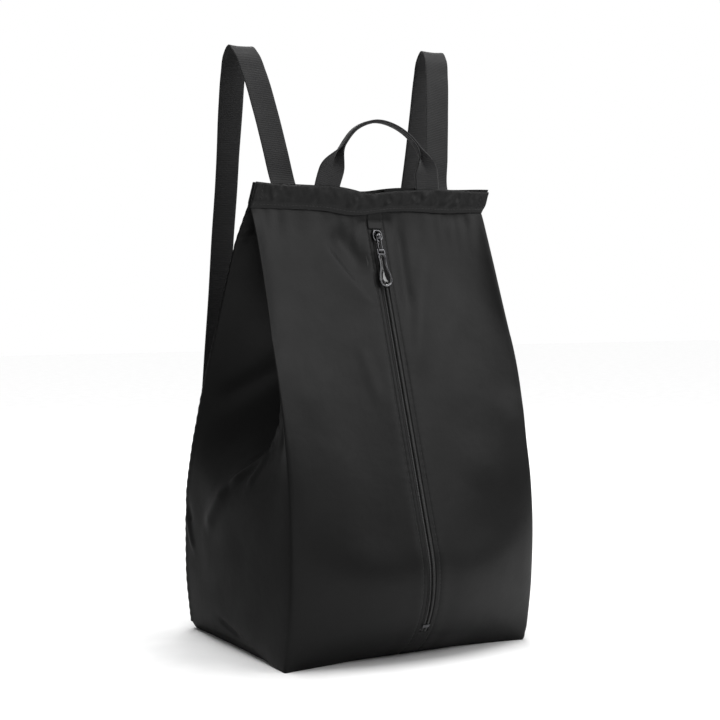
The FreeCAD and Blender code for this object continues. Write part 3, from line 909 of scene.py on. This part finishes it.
def strap_pieces(side, name):
    path = np.array(STRAP, float) * [side, 1, 1]
    run = run_length(path)
    places = np.linspace(0, run[-1], 320)
    centres = through(run, path, places)
    wobble = 0.5 * np.sin(places / 47 + side)
    centres[:, 0] += wobble * smooth(places / 60) * smooth((run[-1] - places) / 90)
    centres[:, 2] += (4.0 if side > 0 else -6.5) * smooth((centres[:, 2] - 420) / 135)
    behind = smooth((places - 230) / 60) * smooth((run[-1] - places - 60) / 100)
    turn = math.radians(8) * behind * (side < 0)
    across = np.stack([np.cos(turn), np.sin(turn), np.zeros_like(turn)], axis=1)
    split = int(np.argmax((places > run[-1] / 2) & (centres[:, 2] < SPLIT_Z)))
    ring = web_ring(cup=-0.5)
    upper = sweep("strap_upper_" + name, centres[:split + 1], across[:split + 1], ring)
    finish_piece(upper, "webbing", body=None)
    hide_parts("shoulder_strap_" + name)
    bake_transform(upper)
    lower = sweep("strap_lower_" + name, centres[split:], across[split:], ring)
    finish_piece(lower, "webbing", body=None)
    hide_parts("strap_base_tab_" + name)
    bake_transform(lower)


def strap_end(side, name):
    """Upper strap end, sewn flat on the back under the band with a boxed cross of stitches."""
    zs = np.linspace(372, 396.5, 12)
    back = np.array([(STRAP[0][0] * side, profile(BACK_EDGE, z) + 2.2 + 0.35, z) for z in zs])
    obj = sweep("strap_end_" + name, back, (1, 0, 0), web_ring())
    finish_piece(obj, "webbing")
    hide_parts("strap_top_end_" + name)
    tangent = unit(back[-1] - back[0])
    facing = unit(np.cross(tangent, [1.0, 0.0, 0.0]))
    low, high = back[1] + facing * 0.85, back[-3] + facing * 0.85
    corners = [low + [-9.5, 0, 0], low + [9.5, 0, 0], high + [9.5, 0, 0], high + [-9.5, 0, 0]]
    boxed_cross("strap_stitch_" + name, corners, facing)


def tab_stitching(side, name):
    """Boxed cross of stitches through the lower strap end."""
    corners = [np.array([(STRAP[-1][0] + x) * side, 103.45 + 0.11 * (z - 4), z])
               for x, z in ((-9, 4), (9, 4), (9, 19), (-9, 19))]
    boxed_cross("tab_stitch_" + name, corners, [0.0, 1.0, 0.0])


# ---- materials ----
class Nodes:
    """Short way to build one material's node tree."""

    def __init__(self, name):
        self.material = bpy.data.materials.new(name)
        self.material.use_nodes = True
        self.tree = self.material.node_tree
        self.shader = self.tree.nodes["Principled BSDF"]

    def wire(self, node, inputs):
        """Set a node's inputs, each to a value or to another node's output."""
        for key, value in inputs.items():
            socket = node.inputs[key.replace("_", " ") if isinstance(key, str) else key]
            if isinstance(value, bpy.types.NodeSocket):
                self.tree.links.new(value, socket)
            else:
                socket.default_value = value

    def add(self, kind, **inputs):
        node = self.tree.nodes.new(kind)
        self.wire(node, inputs)
        return node

    def place(self, by_cloth):
        """Cloth coordinates in metres, or the object's own."""
        if by_cloth:
            node = self.add("ShaderNodeUVMap")
            node.uv_map = "cloth"
            return node.outputs["UV"]
        return self.add("ShaderNodeTexCoord").outputs["Object"]

    def noise(self, place, scale, detail=3.0, rough=0.5):
        node = self.add("ShaderNodeTexNoise", Vector=place, Scale=scale, Detail=detail, Roughness=rough)
        return node.outputs["Fac"]

    def wave(self, place, direction, pitch, distort=0.0):
        """Parallel threads, pitch metres apart."""
        scale = math.pi / (10 * pitch)
        node = self.add("ShaderNodeTexWave", Vector=place, Scale=scale, Distortion=distort)
        node.bands_direction = direction
        return node.outputs["Fac"]

    def math(self, operation, a, b):
        node = self.add("ShaderNodeMath")
        node.operation = operation
        self.wire(node, {0: a, 1: b})
        return node.outputs[0]

    def weigh(self, first, share, second, other):
        """Sum of two values, each times its share."""
        return self.math("ADD", self.math("MULTIPLY", first, share), self.math("MULTIPLY", second, other))

    def ramp(self, value, low, high, start=0.3, end=0.7):
        """Colour or grey that runs from low to high as value goes from start to end."""
        node = self.add("ShaderNodeValToRGB", Fac=value)
        for element, at, colour in zip(node.color_ramp.elements, (start, end), (low, high)):
            element.position = at
            element.color = grey(colour)
        return node.outputs["Color"]

    def bump(self, height, strength, distance, **under):
        node = self.add("ShaderNodeBump", Height=height, Strength=strength, Distance=distance, **under)
        return node.outputs["Normal"]

    def finish(self, colour, rough, normal, **constants):
        self.wire(self.shader, dict(Base_Color=colour, Roughness=rough, Normal=normal, **constants))
        return self.material


def grey(value):
    if isinstance(value, (int, float)):
        return (value, value, value, 1.0)
    return (*value, 1.0)


def nylon(name, dark, light, low_rough, high_rough, sheen):
    """Thin plain-weave nylon: fine threads both ways, faint rumples and an uneven gloss."""
    n = Nodes(name)
    place = n.place(True)
    warp = n.wave(place, "X", 0.00042, 0.15)
    weft = n.wave(place, "Y", 0.00036, 0.15)
    weave = n.math("ADD", warp, weft)
    rumple = n.noise(place, 42.0, 5.0, 0.55)
    cloud = n.noise(place, 11.0)
    slub = n.noise(place, 900.0, 2.0, 0.6)
    colour = n.ramp(n.weigh(cloud, 0.6, slub, 0.4), dark, light)
    rough = n.ramp(n.weigh(cloud, 0.5, rumple, 0.5), low_rough, high_rough)
    under = n.bump(rumple, 0.22, 0.0018)
    normal = n.bump(weave, 0.14, 0.00006, Normal=under)
    return n.finish(colour, rough, normal, Sheen_Weight=sheen, Sheen_Roughness=0.45,
                    Specular_IOR_Level=0.2)


def webbing():
    """Ribbed webbing: cross ribs along its length, fine warp ends and fine fibre fuzz all over."""
    n = Nodes("webbing")
    place = n.place(True)
    ribs = n.wave(place, "Y", 0.0017, 0.25)
    ends = n.wave(place, "X", 0.0009, 0.2)
    height = n.math("ADD", ribs, n.math("MULTIPLY", ends, 0.45))
    patchy = n.noise(place, 60.0, 4.0, 0.6)
    fibre = n.noise(place, 1500.0, 2.0, 0.6)
    # The tone follows the ribs: painted shade in the grooves between them and painted light on their
    # crests, over the webbing's own patchy, fibrous tone.
    tone = n.math("ADD", n.math("MULTIPLY", ribs, 0.35), n.weigh(patchy, 0.45, fibre, 0.2))
    colour = n.ramp(tone, (0.008, 0.008, 0.0084), (0.017, 0.017, 0.0176), 0.25, 0.8)
    rough = n.ramp(patchy, 0.58, 0.74)
    normal = n.bump(height, 0.5, 0.00028, Normal=n.bump(fibre, 0.15, 0.0001))
    return n.finish(colour, rough, normal, Sheen_Weight=0.15, Sheen_Roughness=0.5,
                    Specular_IOR_Level=0.3)


def tape_weave():
    """Zip tape: dense herringbone-like weave with a matt finish."""
    n = Nodes("zip_tape")
    place = n.place(False)
    across = n.wave(place, "X", 0.0007, 1.2)
    along = n.wave(place, "Z", 0.0005, 1.2)
    height = n.math("MULTIPLY", across, along)
    patchy = n.noise(place, 120.0)
    colour = n.ramp(patchy, 0.012, 0.019)
    rough = n.ramp(patchy, 0.65, 0.8)
    return n.finish(colour, rough, n.bump(height, 0.35, 0.00015), Sheen_Weight=0.2,
                    Sheen_Roughness=0.5, Specular_IOR_Level=0.3)


def speckled(name, speckle, tones, gloss, bump, **constants):
    """Plain material with one fine noise in its tone, its gloss and its bump."""
    n = Nodes(name)
    grain = n.noise(n.place(False), *speckle)
    return n.finish(n.ramp(grain, *tones), n.ramp(grain, *gloss), n.bump(grain, *bump), **constants)


def coil_plastic():
    return speckled("zip_coil", (400.0,), (0.030, 0.048), (0.32, 0.45), (0.15, 0.0001),
                    Specular_IOR_Level=0.5)


def nickel():
    """Dark plated metal with fine rub marks."""
    n = Nodes("slider_metal")
    place = n.place(False)
    marks = n.noise(place, 900.0, 4.0, 0.65)
    cloud = n.noise(place, 160.0, 2.0)
    colour = n.ramp(cloud, (0.085, 0.085, 0.09), (0.14, 0.14, 0.145))
    rough = n.ramp(n.weigh(marks, 0.5, cloud, 0.5), 0.10, 0.20, 0.35, 0.65)
    return n.finish(colour, rough, n.bump(marks, 0.08, 0.00005), Metallic=1.0)


def dark_dish():
    """Glossy near-black face of the pull's dished hollow, far darker than the metal of its rim."""
    return speckled("pull_dark_dish", (700.0, 3.0, 0.6), (0.003, 0.006), (0.08, 0.14, 0.35, 0.65),
                    (0.04, 0.00003), Specular_IOR_Level=0.9, Coat_Weight=0.6, Coat_Roughness=0.08)


def thread():
    """Twisted sewing thread."""
    return speckled("thread", (2500.0, 2.0), (0.007, 0.014), (0.5, 0.65), (0.3, 0.0001),
                    Sheen_Weight=0.2, Specular_IOR_Level=0.4)


# each finish: its slot in the record and its material
MATERIALS = {
    "nylon": ("body_nylon", nylon("body_nylon", 0.0045, 0.0068, 0.38, 0.48, 0.02)),
    "band_nylon": ("band_nylon", nylon("band_nylon", 0.0066, 0.0102, 0.41, 0.53, 0.02)),
    "webbing": ("webbing", webbing()),
    "tape": ("zip_tape_weave", tape_weave()),
    "coil_plastic": ("zip_coil_plastic", coil_plastic()),
    "metal": ("slider_metal", nickel()),
    "dark_dish": ("slider_metal", dark_dish()),
    "thread": ("body_nylon", thread()),
}
CAD_FINISH = {
    "zip_tape_left": "tape", "zip_tape_right": "tape", "zip_bottom_stop": "metal",
    "slider_body": "metal", "slider_crown": "metal", "pull_link": "metal",
}


def carry_over():
    """Give the CAD nodes that stay in view their finished materials."""
    for node, material in CAD_FINISH.items():
        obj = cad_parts[node]
        obj.data.materials.clear()
        obj.data.materials.append(MATERIALS[material][1])


# ---- camera, light and floor ----
CAMERA_AT = (-703.3, -1223.3, 326.9)
CAMERA_DOWN, CAMERA_TURN = 2.71, -30  # degrees
LENS = 75


def camera():
    data = bpy.data.cameras.new("camera")
    obj = new_object("camera", data)
    bpy.context.scene.camera = obj
    data.sensor_width = 36
    data.lens = LENS
    obj.location = Vector(CAMERA_AT) * MM
    obj.rotation_euler = (math.radians(90 - CAMERA_DOWN), 0, math.radians(CAMERA_TURN))


def softbox(name, azimuth, height, distance, size, radiance):
    """Square soft light that looks at the bag, in metres; azimuth 0 is straight in front of it."""
    light = bpy.data.lights.new(name, "AREA")
    light.size = size
    light.energy = radiance * math.pi * size * size
    obj = new_object(name, light)
    turn = math.radians(azimuth)
    obj.location = (distance * math.sin(turn), -distance * math.cos(turn), height)
    aim = Vector((0, 0, 0.25)) - obj.location
    obj.rotation_euler = aim.to_track_quat("-Z", "Y").to_euler()


def seen_as(tree, for_light, for_view, output):
    """A white studio that throws less light back on the dark cloth than it shows."""
    mix = tree.nodes.new("ShaderNodeMixShader")
    path = tree.nodes.new("ShaderNodeLightPath")
    tree.links.new(path.outputs["Is Camera Ray"], mix.inputs[0])
    tree.links.new(for_light.outputs[0], mix.inputs[1])
    tree.links.new(for_view.outputs[0], mix.inputs[2])
    tree.links.new(mix.outputs[0], output.inputs["Surface"])


def studio():
    mesh = bpy.data.meshes.new("floor")
    mesh.from_pydata([(-6, -6, 0), (6, -6, 0), (6, 6, 0), (-6, 6, 0)], [], [(0, 1, 2, 3)])
    floor = new_object("floor", mesh)
    paper = Nodes("floor_paper")
    place = paper.place(False)
    fleck = paper.noise(place, 30.0)
    mesh.materials.append(paper.finish(
        paper.ramp(fleck, 0.88, 0.92), paper.ramp(fleck, 0.85, 0.95),
        paper.bump(fleck, 0.02, 0.0005), Specular_IOR_Level=0.1))
    # For light thrown back onto the bag, the floor's colour is painted brighter toward the front right and
    # darker toward the back left: painted light that brightens the bag's front and right and leaves its
    # left side darker.
    parts = paper.add("ShaderNodeSeparateXYZ", Vector=place)
    ahead = paper.math("SUBTRACT", paper.math("MULTIPLY", parts.outputs["X"], 0.5),
                       paper.math("MULTIPLY", parts.outputs["Y"], 0.866))
    painted_bounce_light = paper.ramp(paper.math("ADD", ahead, 0.5), 0.22, 0.85, 0.3, 0.75)
    painted_bounce_floor = paper.add("ShaderNodeBsdfDiffuse", Color=painted_bounce_light)
    seen_as(paper.tree, painted_bounce_floor, paper.shader, paper.tree.nodes["Material Output"])
    world = bpy.data.worlds.new("world")
    bpy.context.scene.world = world
    world.use_nodes = True
    tree = world.node_tree
    faint, seen = tree.nodes["Background"], tree.nodes.new("ShaderNodeBackground")
    for node, strength in ((faint, 0.1), (seen, 1.0)):
        node.inputs["Color"].default_value = (1, 1, 1, 1)
        node.inputs["Strength"].default_value = strength
    seen_as(tree, faint, seen, tree.nodes["World Output"])
    bpy.context.scene.view_settings.view_transform = "Standard"
    softbox("key", 40, 1.35, 1.5, 1.1, 3.4)
    softbox("fill", -55, 0.9, 1.5, 0.8, 0.8)
    softbox("edge", 84, 0.7, 1.5, 0.8, 0.9)
    sun = bpy.data.lights.new("top", "SUN")
    sun.energy = 3.2
    sun.angle = math.radians(40)
    new_object("top", sun)
    softbox("back", 150, 1.4, 1.8, 1.0, 4.0)


columns, grid, normals, uv = body_surface()
body_pieces(columns, grid, normals, uv)
base_piece(grid)
body_stitching(columns, grid, normals)
band_piece("band_front", -34.0, HEM_FRONT, "top_band_front")
band_piece("band_back", -26.1, HEM_BACK, "top_band_back")
zip_coils()
zip_patch("zip_patch_top", "zip_top_tab", 381.7, 397.5, 1.35, 14.4)
zip_patch("zip_patch_bottom", "zip_bottom_tab", 1.0, 25.5, 0.8, 9.8)
slider_plate()
pull_piece()
handle_piece()
for side, name in ((1, "right"), (-1, "left")):
    strap_pieces(side, name)
    strap_end(side, name)
    tab_stitching(side, name)
carry_over()
camera()
studio()
